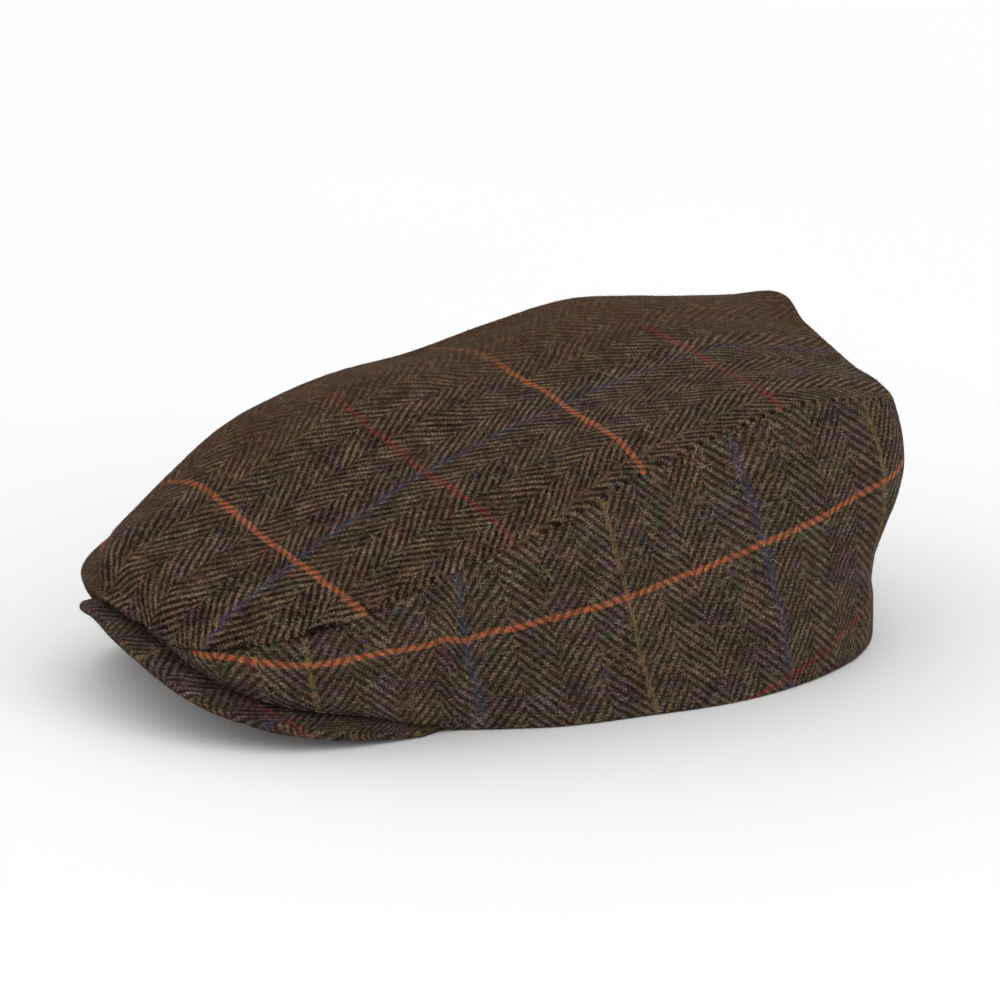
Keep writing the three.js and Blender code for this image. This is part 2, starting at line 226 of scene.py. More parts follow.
def read(rows, key, at):
    """The smooth curve through one column of a table, at the places "at"."""
    marks, values = rows["at"], rows[key]
    slopes = np.gradient(values, marks)
    slopes[1:-1] = (values[2:] - values[:-2]) / (marks[2:] - marks[:-2])
    at = np.asarray(at, float)
    i = np.clip(np.searchsorted(marks, at, side="right") - 1, 0, len(marks) - 2)
    span = marks[i + 1] - marks[i]
    t = np.clip((at - marks[i]) / span, 0, 1)
    s = 1 - t
    ends = values[i] * (1 + 2 * t) * s * s + values[i + 1] * (3 - 2 * t) * t * t
    return ends + span * t * s * (slopes[i] * s - slopes[i + 1] * t)


def hand(side):
    """The name of a side's column in the tables."""
    return "left" if side > 0 else "right"


def points(x, y, z):
    """Three arrays put together as one array of points."""
    return np.stack(np.broadcast_arrays(x, y, z), axis=-1).astype(float)


def smooth_step(low, high, x):
    """0 below low, 1 above high and a smooth rise between them."""
    t = np.clip((x - low) / (high - low), 0, 1)
    return t * t * (3 - 2 * t)


def mix_number(a, b, share):
    """A blend of two numbers."""
    return a + (b - a) * share


def mix(a, b, share):
    """A blend of two arrays of points."""
    return a + (b - a) * np.asarray(share)[..., None]


def unit(v):
    """Vectors scaled to a length of one."""
    return v / np.maximum(np.linalg.norm(v, axis=-1, keepdims=True), 1e-9)


def peak_outer(side, at):
    """The underside of the peak along its outer edge."""
    x = side * HALF * read(PEAK, "out", at)
    return points(x, LENGTH * read(PEAK, "along", at), HEIGHT * read(PEAK, hand(side), at))


def peak_brow(side, at):
    """The edge of the peak behind it, at the brow."""
    x = side * HALF * read(BROW, "out", at)
    z = peak_outer(side, at)[..., 2] + HEIGHT * read(BROW, "rise", at)
    return points(x, LENGTH * read(BROW, "along", at), z)


def peak_thick(at):
    """How thick the peak is."""
    return PEAK_THICKNESS * read(RIM, "thick", at)


def crown_foot(side, at):
    """Where the outside of the crown stands on the peak."""
    outer, brow = peak_outer(side, at), peak_brow(side, at)
    inset = PEAK_RIM * read(RIM, hand(side), at)
    place = mix(outer, brow, inset / np.linalg.norm(brow - outer, axis=-1))
    place[..., 2] += peak_thick(at) + PEAK_GAP
    return place


def bottom_edge(side, at):
    """The bottom edge of a wall: on the peak in front, then on the surface it rests on."""
    at = np.asarray(at, float)
    share = np.clip(at / CORNER_AT, 0, 1)
    peak_at = TIP_AT + (1 - TIP_AT) * share
    front = crown_foot(side, peak_at)
    front[..., 2] *= 1 - smooth_step(DROP_START, 1, peak_at)
    rest = points(side * HALF * read(REST, "out", at), LENGTH * read(REST, "along", at), 0)
    return np.where((at < CORNER_AT)[..., None], front, rest)


TIP_BLEND = 0.035


def seam_edge(side, at):
    """The seam between a wall and the top panel. It starts on the lip over the peak."""
    at = np.asarray(at, float)
    lean = side * read(SEAM, "lean", at)
    x = side * HALF * read(SEAM, "out", at)
    y = LENGTH * (read(SEAM, "along", at) - lean)
    seam = points(x, y, HEIGHT * read(SEAM, hand(side), at))
    tip = bottom_edge(side, np.zeros(1))[0] + (0, 0, LIP)
    start = points(
        side * HALF * SEAM["out"][0], LENGTH * SEAM["along"][0], HEIGHT * SEAM[hand(side)][0]
    )
    fade = 1 - smooth_step(0, TIP_BLEND, at)
    return seam + (tip - start) * fade[..., None]


print("seam tip and corner:", seam_edge(LEFT, [0.0, CORNER_AT]).round(1).tolist())

# %% [markdown]
# ## Surfaces between the edges
# A wall is sewn between the rest line and the seam, and it swells a little as cloth does.
# The top panel is stretched between the two seams, the lip and the rear edge. A blend of the
# four edges gives its tension shape, and a low dome gives the fullness of the head shape.

# %% Wall and top surfaces


def bump(x, middle, reach):
    """A soft hill, 1 in the middle."""
    return np.exp(-(((x - middle) / reach) ** 2))


# Shares of the way along an edge: the reach of a slope, and how far from an end a form fades
SLOPE_REACH = 0.012
EDGE_HOLD = 0.03
BACK_FADE = 0.03


def wall_surface(side, at, up):
    """The outside of a wall, one row of points for each height in up."""
    bottom, top = bottom_edge(side, at), seam_edge(side, at)
    after = bottom_edge(side, np.minimum(at + SLOPE_REACH, 1))
    before = bottom_edge(side, np.maximum(at - SLOPE_REACH, 0))
    run = after - before
    out = points(run[..., 1] * side, -run[..., 0] * side, 0)
    out[..., 0] *= smooth_step(0, BACK_FADE, 1 - at)
    out = unit(out)
    up = up[:, None]
    swell = CLOTH * read(SWELL, hand(side), at) * np.sin(np.pi * up**SWELL_POWER)
    for i in np.flatnonzero(WALL_DENTS["side"] == side):
        dent = {name: column[i] for name, column in WALL_DENTS.items()}
        hill = bump(at, dent["along"], dent["wide"]) * bump(up, dent["up"], dent["tall"])
        swell = swell + dent["height"] * hill * np.minimum(1, DENT_FADE * up)
    place = mix(bottom[None], top[None], np.broadcast_to(up, swell.shape))
    return place + out[None] * swell[..., None]


def top_surface(across, along):
    """The outside of the top panel. across runs from the right seam (0) to the left seam (1)."""
    u, v = across[None, :], along[:, None]
    at = read(PACE, "seam", along)
    right, left = seam_edge(RIGHT, at), seam_edge(LEFT, at)
    foot = np.where(
        (across < 0.5)[:, None],
        crown_foot(RIGHT, TIP_AT * np.abs(2 * across - 1)),
        crown_foot(LEFT, TIP_AT * np.abs(2 * across - 1)),
    )
    front = foot + (0, 0, LIP)
    rear_at = SHOULDER_AT + (1 - SHOULDER_AT) * (1 - np.abs(2 * across - 1))
    rear = np.where((across < 0.5)[:, None], seam_edge(RIGHT, rear_at), seam_edge(LEFT, rear_at))
    shape = (len(along), len(across))
    us, vs = np.broadcast_to(u, shape), np.broadcast_to(v, shape)
    ends = mix(right[:, None], left[:, None], us)
    lengthways = mix(front[None], rear[None], vs)
    corners = mix(mix(front[0], front[-1], us), mix(rear[0], rear[-1], us), vs)
    place = ends + lengthways - corners
    rise, crest = read(RISE, "rise", along)[:, None], read(RISE, "crest", along)[:, None]
    arch = 1 - np.abs(2 * u ** (math.log(0.5) / np.log(crest)) - 1) ** DOME_POWER
    place[..., 2] += DOME * rise * arch
    held = smooth_step(0, EDGE_HOLD, v) * smooth_step(0, EDGE_HOLD, 1 - v)
    for i in range(len(TOP_DENTS["height"])):
        dent = {name: column[i] for name, column in TOP_DENTS.items()}
        hill = bump(u, dent["across"], dent["wide"]) * bump(v, dent["along"], dent["long"])
        place[..., 2] += dent["height"] * hill * arch * held
    return place


middle_of_top = top_surface(np.linspace(0, 1, 3), np.linspace(0, 1, 3))[1, 1]
print("middle of the top panel in mm:", middle_of_top.round(1).tolist())

# %% [markdown]
# ## Fine grids
# Each panel becomes a grid of points less than a millimetre apart, with more points over its
# edges, which will roll. Distances are measured along the surface, as with a tape laid on it.

# %% Fine grids
STEP = 0.85
ROLL = 1.3
EDGE_MARKS = np.array([0.0, 0.12, 0.3, 0.55, 0.9])


def spaced(length):
    """Shares of a length about one step apart, closer together over both rolled edges."""
    inner = np.arange(1, math.ceil((length - 2 * ROLL) / STEP)) * STEP + ROLL
    inner = inner[inner < length - ROLL - STEP / 3]
    ends = EDGE_MARKS * ROLL / EDGE_MARKS[-1]
    marks = np.concatenate([ends, inner, length - ends[::-1]])
    if len(marks) % 2 == 0:
        middle = len(marks) // 2
        marks = np.insert(marks, middle, (marks[middle - 1] + marks[middle]) / 2)
    return marks / length


def run_length(grid, axis):
    """Distance along the surface from the grid's first row or column."""
    steps = np.linalg.norm(np.diff(grid, axis=axis), axis=-1)
    start = np.zeros_like(np.take(steps, [0], axis=axis))
    return np.concatenate([start, np.cumsum(steps, axis=axis)], axis=axis)


def normals_of(grid):
    """Unit normals of a grid of points."""
    return unit(np.cross(np.gradient(grid, axis=1), np.gradient(grid, axis=0)))


print("points across a strip of 100 mm:", len(spaced(100)))

# %% [markdown]
# ## Cloth detail in the shape
# Cloth is never smooth. It slumps in slow waves, and cloth turned in at a seam rolls over its
# edge, so each panel's rim curves down by about a millimetre. A cloth simulation could do this
# too, but small moves of the points in code keep the photo's outline.

# %% Slump and rolled edges
WAVE_COUNT = 7
SLUMP_HEIGHT = 0.35
SLUMP_SIZE = 38
SLUMP_FADE = 14
CREASE_HEIGHT = 0.12
CREASE_SIZE = 13


def waves(p, size, seed):
    """A smooth random height, mostly from -1 to 1, made of a few plane waves of about one size."""
    random = np.random.default_rng(seed)
    total = 0
    for _ in range(WAVE_COUNT):
        heading = unit(random.normal(size=3))
        turn = 2 * math.pi / (size * random.uniform(0.7, 1.5))
        total = total + np.sin(p @ heading * turn + random.uniform(0, 2 * math.pi))
    return total / math.sqrt(WAVE_COUNT)


def edge_distance(grid, edges):
    """Distance along the surface to the nearest of the named edges of a grid."""
    over, up = run_length(grid, 1), run_length(grid, 0)
    reach = {
        "first column": over,
        "last column": over[:, -1:] - over,
        "first row": up,
        "last row": up[-1:] - up,
    }
    return np.minimum.reduce([reach[name] for name in edges])


def slumped(grid, outward, edges, seed):
    """Slow waves and faint creases that die out at the edges."""
    fade = smooth_step(0, SLUMP_FADE, edge_distance(grid, edges))
    slump = SLUMP_HEIGHT * waves(grid, SLUMP_SIZE, seed)
    crease = CREASE_HEIGHT * waves(grid, CREASE_SIZE, seed + 1)
    return grid + outward * ((slump + crease) * fade)[..., None]


def rolled(grid, outward, radii):
    """The grid with each named edge rolled over in a quarter circle of its own radius."""
    depth = 0
    for name, radius in radii.items():
        inside = np.clip(radius - edge_distance(grid, [name]), 0, None)
        depth = np.maximum(depth, radius - np.sqrt(np.maximum(radius**2 - inside**2, 0)))
    return grid - outward * depth[..., None]


print("slump and creases in mm:", SLUMP_HEIGHT, CREASE_HEIGHT)

# %% [markdown]
# ## Sewn edges
# Stitches draw the cloth beside a seam into faint puckers. The near wall is drawn in under the
# top panel as well, and the front of the crown lifts off the peak where it isn't sewn down.

# %% Puckers
PUCKER_HEIGHT = 0.12
PUCKER_PITCH = 6.5
PUCKER_REACH = 4.0
PUCKER_START = 3.0
PUCKER_DRIFT = 2.2
PUCKER_DRIFT_SIZE = 31
PUCKER_PATCH_SIZE = 23
TINY = 1e-6


def puckered(grid, outward, edges, seed):
    """Faint puckers beside the sewn edges."""
    distance = edge_distance(grid, edges)
    beside = edge_distance(grid, [name for name in edges if "column" in name])
    along = np.where(beside <= distance + TINY, run_length(grid, 0), run_length(grid, 1))
    drift = PUCKER_DRIFT * waves(grid, PUCKER_DRIFT_SIZE, seed)
    strength = waves(grid, PUCKER_PATCH_SIZE, seed + 1)
    height = np.sin(2 * math.pi * along / PUCKER_PITCH + drift) * strength
    fade = np.exp(-distance / PUCKER_REACH) * smooth_step(0, PUCKER_START, distance)
    return grid + outward * (PUCKER_HEIGHT * height * fade)[..., None]


print("puckers in mm:", PUCKER_HEIGHT, "high, one each", PUCKER_PITCH)

# %% Tuck and groove
# How far each wall is drawn in, in mm, along the seam
TUCK = table(
    "at left right",
    (0.00, 0.0, 0.0),
    (0.06, 1.3, 0.0),
    (0.18, 1.9, 0.0),
    (0.30, 1.8, 0.2),
    (0.45, 1.3, 0.3),
    (0.60, 0.6, 0.2),
    (0.80, 0.1, 0.1),
    (1.00, 0.1, 0.1),
)
TUCK_REACH = 2.4


def tucked(grid, outward, at, side):
    """The wall drawn in under the top panel, which makes the seam's crease."""
    distance = edge_distance(grid, ["last row"])
    depth = read(TUCK, hand(side), at)[None, :] * np.exp(-((distance / TUCK_REACH) ** 2))
    return grid - outward * depth[..., None]


GROOVE = 2.4
GROOVE_REACH = 4.2


def lifted(grid, share):
    """The front of the crown raised a little off the peak, which leaves a dark groove."""
    distance = edge_distance(grid, ["first row"])
    rise = GROOVE * share * np.exp(-((distance / GROOVE_REACH) ** 2))
    return grid + points(0, 0, rise)


print("deepest tuck and groove in mm:", TUCK["left"].max(), GROOVE)

# %% [markdown]
# ## Panels as closed meshes
# Real cloth has two faces. The outer face is the fine grid and the inner face, which only shows
# from below, is the same grid with every second point, one cloth thickness in. The turned edges
# join them. Each point also carries its place in the woven cloth, in millimetres.

# %% Closed sheet
UV_PER_MM = 0.002
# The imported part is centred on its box, which moves it this far back
CAP_SHIFT = 0.805


def to_frame(p):
    """Millimetres in the part's own place to metres in the frame."""
    return (p + (0, CAP_SHIFT, 0)) * MM


def grid_faces(rows, cols, first, flip):
    """Quads between the points of a grid."""
    r, c = np.mgrid[0 : rows - 1, 0 : cols - 1]
    a = first + r * cols + c
    quad = np.stack([a, a + 1, a + 1 + cols, a + cols], axis=-1).reshape(-1, 4)
    return quad[:, ::-1] if flip else quad


def ring(rows, cols, first):
    """The points round the edge of a grid, in order."""
    a = first + np.arange(rows * cols).reshape(rows, cols)
    return np.concatenate([a[0, :-1], a[:-1, -1], a[-1, :0:-1], a[:0:-1, 0]])


def cloth_piece(name, place, faces, cloth):
    """A smooth mesh piece whose points know their places in the woven cloth."""
    mesh = bpy.data.meshes.new(name)
    mesh.from_pydata(to_frame(place).tolist(), [], faces)
    layer = mesh.uv_layers.new(name="cloth")
    corner = np.empty(len(mesh.loops), dtype=np.int32)
    mesh.loops.foreach_get("vertex_index", corner)
    layer.data.foreach_set("uv", (cloth[corner] * UV_PER_MM).ravel().astype(np.float32))
    mesh.shade_smooth()
    piece = bpy.data.objects.new(name, mesh)
    bpy.context.collection.objects.link(piece)
    return piece


def closed_sheet(name, outer, inner, cloth):
    """A mesh closed between the outer grid and the inner grid of every second point."""
    rows, cols = outer.shape[:2]
    first = rows * cols
    small_rows, small_cols = inner.shape[:2]
    quads = [
        grid_faces(rows, cols, 0, False),
        grid_faces(small_rows, small_cols, first, True),
    ]
    big, small = ring(rows, cols, 0), ring(small_rows, small_cols, first)
    k = np.arange(len(small))
    after, middle, end = small[(k + 1) % len(small)], big[2 * k + 1], big[(2 * k + 2) % len(big)]
    fans = [
        np.stack([big[2 * k], small, middle], axis=-1),
        np.stack([middle, small, after], axis=-1),
        np.stack([middle, after, end], axis=-1),
    ]
    faces = [list(map(int, face)) for group in quads + fans for face in group]
    place = np.concatenate([outer.reshape(-1, 3), inner.reshape(-1, 3)])
    both_cloths = np.concatenate([cloth.reshape(-1, 2), cloth[::2, ::2].reshape(-1, 2)])
    piece = cloth_piece(name, place, faces, both_cloths)
    piece.data.validate()
    return piece


def area_of(grid):
    """The area of a grid's surface, in square metres."""
    a = np.cross(grid[1:, :-1] - grid[:-1, :-1], grid[:-1, 1:] - grid[:-1, :-1])
    b = np.cross(grid[1:, :-1] - grid[1:, 1:], grid[:-1, 1:] - grid[1:, 1:])
    return (np.linalg.norm(a, axis=-1) + np.linalg.norm(b, axis=-1)).sum() / 2 * MM * MM


print("thickness of the turned cloth in mm:", CLOTH)

# %% [markdown]
# ## Where the cloth lies on each panel
# The check shows how the cloth was laid before cutting. On the top panel the orange and red
# lines run from side to side and the blue and yellow ones from front to back. On a wall the
# whole check is turned, because the wall was cut with its lower edge curved.

# %% Cloth places
# Along the top panel, from front to back: the place in the cloth, in mm
TOP_ALONG = table(
    "at place",
    (0.00, -46.5),
    (0.12, -25.0),
    (0.25, 0.0),
    (0.433, 50.0),
    (0.629, 100.0),
    (0.812, 150.0),
    (1.00, 196.5),
)
# Along the top panel: how far over its middle lies in the cloth, in mm, and how far the
# crosswise lines swing forward or back towards each side, as shares of the panel's length
TOP_DRIFT = table(
    "at over right edge left",
    (0.00, 11.4, -0.006, 0.000, 0.034),
    (0.25, 24.0, -0.006, 0.000, 0.034),
    (0.43, 30.7, -0.005, 0.005, 0.034),
    (0.63, 41.6, -0.012, 0.030, 0.004),
    (0.81, 44.1, -0.050, 0.065, 0.010),
    (1.00, 45.8, -0.020, 0.000, 0.010),
)
SKEW_POWER = 1.5
EDGE_POWER = 8
TOP_STRETCH = 0.84


def top_cloth(grid, across, along):
    """Cloth places of the top panel: over from side to side, and along from front to back."""
    middle = np.argmin(np.abs(across - 0.5))
    over = run_length(grid, 1)
    over = (over - over[:, [middle]]) * TOP_STRETCH
    u, v = across[None, :], along[:, None]
    far = np.maximum(1 - 2 * u, 0)
    right = read(TOP_DRIFT, "right", v) * far + read(TOP_DRIFT, "edge", v) * far**EDGE_POWER
    left = read(TOP_DRIFT, "left", v) * np.maximum(2 * u - 1, 0) ** SKEW_POWER
    place = read(TOP_ALONG, "place", v - right - left)
    return np.stack([over + read(TOP_DRIFT, "over", v), place], axis=-1)


# Along a wall's lower edge, in mm: the place in the cloth, and the orange line's height
WALL_LINES = table(
    "at place orange",
    (0.0, -58.0, 6.0),
    (12.0, -47.0, 8.8),
    (20.0, -39.0, 9.6),
    (27.0, -32.0, 10.2),
    (38.0, -20.0, 14.4),
    (62.0, 0.0, 19.5),
    (90.0, 27.0, 28.6),
    (115.0, 50.0, 33.8),
    (145.0, 77.5, 37.7),
    (170.0, 100.0, 40.8),
    (200.0, 130.5, 46.6),
    (218.0, 150.0, 51.2),
    (240.0, 175.0, 57.0),
    (266.0, 205.0, 66.0),
    (345.0, 287.0, 90.0),
)
LEAN = 0.26
FAR_SIDE_LIFT = 8.0


def wall_cloth(grid, side):
    """Cloth places of a wall, over along it and up from the orange line."""
    over = run_length(grid, 1)
    over = np.broadcast_to(over[:1], over.shape)
    line = read(WALL_LINES, "orange", over) + (FAR_SIDE_LIFT if side < 0 else 0)
    t = run_length(grid, 0) - line
    s = read(WALL_LINES, "place", over + LEAN * t)
    return np.stack([s, t], axis=-1)


print("rows that place the check:", len(TOP_ALONG["at"]), "and", len(WALL_LINES["at"]))

# %% [markdown]
# ## Sewing the panels
# Each panel is slumped, puckered and rolled at the edges, and then closed. The foot of a wall
# rolls wider where it rests on the peak. On the far side the tip stays nearly flat, because it
# shows against the background and a roll would leave a notch there.
# The size of each flat piece of cloth is printed, as a cutter would mark it.

# %% Panels
INNER_TRIM = 1.8
# The wall's foot lifts off the peak until here, as shares of the way along the wall
GROOVE_END = (0.26, 0.35)
FOOT_ROLL = 4.0
# The far tip's roll, as a share of the full one, and where along the seam it becomes full
FAR_TIP_ROLL = 0.12
FAR_TIP_END = (0.06, 0.22)
# Across the top's front edge: where it starts to lift, and how far it sinks before that
GROOVE_START = (0.6, 1.0)
FRONT_SINK = 0.2
# Points along and up, or across and along, in the rough grids that measure a panel
ROUGH_WALL = (200, 20)
ROUGH_TOP = (80, 120)
SLUMP_SEEDS = {"wall": 11, "top": 31}
PUCKER_SEEDS = {"wall": 21, "top": 41}


def report(name, length, width, area):
    """Prints the size of a panel's flat cloth."""
    print(name, "is", round(length), "by", round(width), "mm flat, with", area.round(4), "m2")


def make_wall(side):
    """One side panel."""
    rough = wall_surface(side, *[np.linspace(0, 1, count) for count in ROUGH_WALL])
    length = run_length(rough, 1)[0, -1]
    height = run_length(rough, 0)[-1].max()
    at = spaced(length)
    up = spaced(height)
    base = wall_surface(side, at, up)
    facing = normals_of(base) * side
    sewn = ["last row", "last column"]
    grid = slumped(base, facing, ["first row"] + sewn, SLUMP_SEEDS["wall"] + side)
    grid = puckered(grid, facing, sewn, PUCKER_SEEDS["wall"] + side)
    grid = tucked(grid, facing, at, side)
    on_peak = 1 - smooth_step(*GROOVE_END, at)
    raised = on_peak if side == LEFT else 0 * at
    grid = lifted(grid, raised[None, :])
    flat_tip = 1 if side == LEFT else mix_number(FAR_TIP_ROLL, 1, smooth_step(*FAR_TIP_END, at))
    radii = {
        "first row": mix_number(ROLL, FOOT_ROLL, on_peak)[None, :],
        "last row": np.broadcast_to(ROLL * flat_tip, at.shape)[None, :],
        "last column": ROLL,
    }
    grid = rolled(grid, facing, radii)
    grid[..., 2] = np.maximum(grid[..., 2], 0)
    inner_at, inner_up = at[::2] * (1 - INNER_TRIM / length), up[::2] * (1 - INNER_TRIM / height)
    inner = wall_surface(side, inner_at, inner_up)
    inner = inner - normals_of(inner) * side * CLOTH
    inner = lifted(inner, raised[None, ::2])
    inner[..., 2] = np.maximum(inner[..., 2], 0)
    cloth = wall_cloth(base, side)
    name = "side_panel_" + hand(side)
    if side < 0:
        grid, inner, cloth = grid[:, ::-1], inner[:, ::-1], cloth[:, ::-1]
    piece = closed_sheet(name + "_cloth", grid, inner, cloth)
    report(name, length, height, area_of(base))
    return piece, name, (height * MM, length * MM), area_of(base)


def make_top():
    """The top panel."""
    rough = top_surface(*[np.linspace(0, 1, count) for count in ROUGH_TOP])
    width = run_length(rough, 1)[:, -1].max()
    length = run_length(rough, 0)[-1].max()
    across, along = spaced(width), spaced(length)
    base = top_surface(across, along)
    facing = normals_of(base)
    edges = ["first column", "last column", "last row"]
    grid = slumped(base, facing, edges + ["first row"], SLUMP_SEEDS["top"])
    grid = puckered(grid, facing, edges, PUCKER_SEEDS["top"])
    raised = mix_number(-FRONT_SINK, 1, smooth_step(*GROOVE_START, across))
    grid = lifted(grid, raised[None, :])
    flat_tip = mix_number(FAR_TIP_ROLL, 1, smooth_step(*FAR_TIP_END, along))
    radii = {
        "first column": ROLL * flat_tip[:, None],
        "last column": ROLL,
        "first row": ROLL,
        "last row": ROLL,
    }
    grid = rolled(grid, facing, radii)
    side_trim, end_trim = INNER_TRIM / width, INNER_TRIM / length
    inner_across = side_trim + across[::2] * (1 - 2 * side_trim)
    inner_along = end_trim + along[::2] * (1 - 2 * end_trim)
    inner = top_surface(inner_across, inner_along)
    inner = lifted(inner - normals_of(inner) * CLOTH, raised[None, ::2])
    piece = closed_sheet("top_panel_cloth", grid, inner, top_cloth(base, across, along))
    report("top_panel", length, width, area_of(base))
    return piece, "top_panel", (width * MM, length * MM), area_of(base)


panels = [make_top(), make_wall(LEFT), make_wall(RIGHT)]
cloth_pieces = [panel[0] for panel in panels]

# %% [markdown]
# ## The peak
# A stiff plate is covered in the same cloth, wrapped round its rim. Its section is followed from
# the brow over the top, round the rim and back below, and swept along the curve of the peak.

# %% Peak
PEAK_COLUMNS = 331
PEAK_ROUND = 13
PEAK_FLAT = 34
PEAK_BUNCH = 1.6
PEAK_WRINKLE = 0.12
PEAK_WRINKLE_SIZE = 17
PEAK_SEED = 51
# Where the cloth's check lies at the middle of the peak's rim and at its brow
PEAK_CLOTH = (79, 8)


def make_peak():
    """The peak, as one closed sheet swept along its outer edge."""
    shares = np.linspace(-1, 1, PEAK_COLUMNS)
    at = PEAK_END * np.abs(shares)
    side = np.where(shares < 0, RIGHT, LEFT)
    outer = np.where((side > 0)[:, None], peak_outer(LEFT, at), peak_outer(RIGHT, at))
    brow = np.where((side > 0)[:, None], peak_brow(LEFT, at), peak_brow(RIGHT, at))
    thick = peak_thick(at)
    inward = unit(brow - outer)
    radius = thick / 2
    top = []
    for share in np.linspace(1, 0, PEAK_FLAT):
        depth = share**PEAK_BUNCH * (np.linalg.norm(brow - outer, axis=-1) - radius) + radius
        top.append(outer + inward * depth[:, None] + points(0 * at, 0 * at, thick))
    turn = []
    for angle in np.linspace(0, math.pi, PEAK_ROUND)[1:-1]:
        depth = radius * (1 - math.sin(angle))
        rise = radius * (1 + math.cos(angle))
        turn.append(outer + inward * depth[:, None] + points(0 * at, 0 * at, rise))
    under = [row - points(0 * at, 0 * at, thick) for row in reversed(top)]
    grid = np.stack(top + turn + under)
    facing = -normals_of(grid)
    grid = grid + facing * (PEAK_WRINKLE * waves(grid, PEAK_WRINKLE_SIZE, PEAK_SEED))[..., None]
    grid[..., 2] = np.maximum(grid[..., 2], 0)
    over = run_length(grid, 1)
    rows = run_length(grid, 0)
    middle = PEAK_COLUMNS // 2
    s = np.broadcast_to(over[[PEAK_FLAT]] - over[PEAK_FLAT, middle], over.shape)
    cloth = np.stack([s + PEAK_CLOTH[0], rows + PEAK_CLOTH[1]], axis=-1)
    count = len(grid)
    faces = grid_faces(count, PEAK_COLUMNS, 0, True)
    back = np.arange(PEAK_COLUMNS - 1)
    last = (count - 1) * PEAK_COLUMNS
    closing = np.stack([back, back + 1, last + back + 1, last + back], axis=-1)
    ends = [
        [row * PEAK_COLUMNS + column for row in range(count)] for column in (0, PEAK_COLUMNS - 1)
    ]
    ends[1].reverse()
    polygons = [list(map(int, face)) for group in (faces, closing) for face in group]
    return cloth_piece("peak_cover", grid.reshape(-1, 3), polygons + ends, cloth.reshape(-1, 2))


peak = make_peak()
print("peak points:", len(peak.data.vertices))

# %% [markdown]
# ## Maths for the weave
# Tweed is a rule: which yarn lies on top at each crossing, and what colour that yarn has.
# The rule is worked out with maths nodes on the cloth places. A small class lets the sums
# be written as sums, so each step of the weave reads like the weaver's own draft.

# %% Graph helpers


class Value:
    """A number in a material's graph that works in sums."""

    def __init__(self, graph, socket):
        self.graph = graph
        self.socket = socket

    def __add__(self, other):
        return self.graph.math("ADD", self, other)

    def __radd__(self, other):
        return self.graph.math("ADD", other, self)

    def __sub__(self, other):
        return self.graph.math("SUBTRACT", self, other)

    def __rsub__(self, other):
        return self.graph.math("SUBTRACT", other, self)

    def __mul__(self, other):
        return self.graph.math("MULTIPLY", self, other)

    def __rmul__(self, other):
        return self.graph.math("MULTIPLY", other, self)

    def __truediv__(self, other):
        return self.graph.math("DIVIDE", self, other)

    def __rtruediv__(self, other):
        return self.graph.math("DIVIDE", other, self)


class Graph:
    """One material and the nodes made for it."""

    def __init__(self, name):
        self.material = bpy.data.materials.new(name)
        self.material.use_nodes = True
        self.tree = self.material.node_tree
        self.shader = self.tree.nodes["Principled BSDF"]

    def node(self, kind, settings=None, values=None):
        """A node with its settings, and then the values or links of its sockets."""
        made = self.tree.nodes.new(kind)
        for key, value in (settings or {}).items():
            setattr(made, key, value)
        for key, value in (values or {}).items():
            self.feed(made.inputs[key], value)
        return made

    def feed(self, socket, value):
        """Sets a socket, or links it where the value comes from another node."""
        if isinstance(value, Value):
            value = value.socket
        if isinstance(value, bpy.types.NodeSocket):
            self.tree.links.new(value, socket)
        else:
            socket.default_value = value

    def math(self, operation, *values):
        """One maths node."""
        made = self.node("ShaderNodeMath", {"operation": operation}, dict(enumerate(values)))
        return Value(self, made.outputs[0])

    def ramp(self, value, low, high):
        """0 at low, 1 at high and a smooth rise between them."""
        made = self.node(
            "ShaderNodeMapRange",
            {"interpolation_type": "SMOOTHSTEP"},
            {"Value": value, "From Min": low, "From Max": high},
        )
        return Value(self, made.outputs["Result"])

    def join(self, x, y, z=0.0):
        """Three numbers as one vector."""
        return self.node("ShaderNodeCombineXYZ", values={0: x, 1: y, 2: z}).outputs[0]

    def noise(self, vector, scale=1.0, detail=2.0):
        """Soft noise, about 0 to 1."""
        made = self.node(
            "ShaderNodeTexNoise", values={"Vector": vector, "Scale": scale, "Detail": detail}
        )
        return Value(self, made.outputs[0])

    def chance(self, vector):
        """A random number from 0 to 1 for each whole-number place."""
        made = self.node("ShaderNodeTexWhiteNoise", {"noise_dimensions": "3D"}, {"Vector": vector})
        return Value(self, made.outputs["Value"])

    def blend(self, a, b, share, how="MIX"):
        """Two colours mixed."""
        made = self.node(
            "ShaderNodeMix", {"data_type": "RGBA", "blend_type": how}, {0: share, 6: a, 7: b}
        )
        return made.outputs[2]


def colour(red, green, blue):
    """A colour named by its screen values from 0 to 255."""
    linear = [((v / 255 + 0.055) / 1.055) ** 2.4 for v in (red, green, blue)]
    return (*linear, 1.0)


print("mid grey as light:", round(colour(128, 128, 128)[0], 3))

# %% [markdown]
# ## The herringbone rule
# Herringbone is a two-over, two-under twill that turns round every 12.5 mm. Where the rule puts
# the dark lengthwise yarn on top a dark rib shows, and elsewhere the pale crosswise yarn shows.
# The rule is a slanting wave whose slant turns at each column. Real yarn never lies quite
# straight, so the places drift a little before the rule is asked.

# %% Weave
COLUMN = 12.5
PICK = 1.00
END = 0.78
FLOATS = 4.0
STAIR = 0.55
CRISP = 0.9
# For each round of drift: its reach in mm, then the noise scale and layer across and along
YARN_DRIFT = ((1.6, 0.11, 0.0, 0.13, 7.0), (0.35, 1.1, 3.0, 1.1, 5.0))


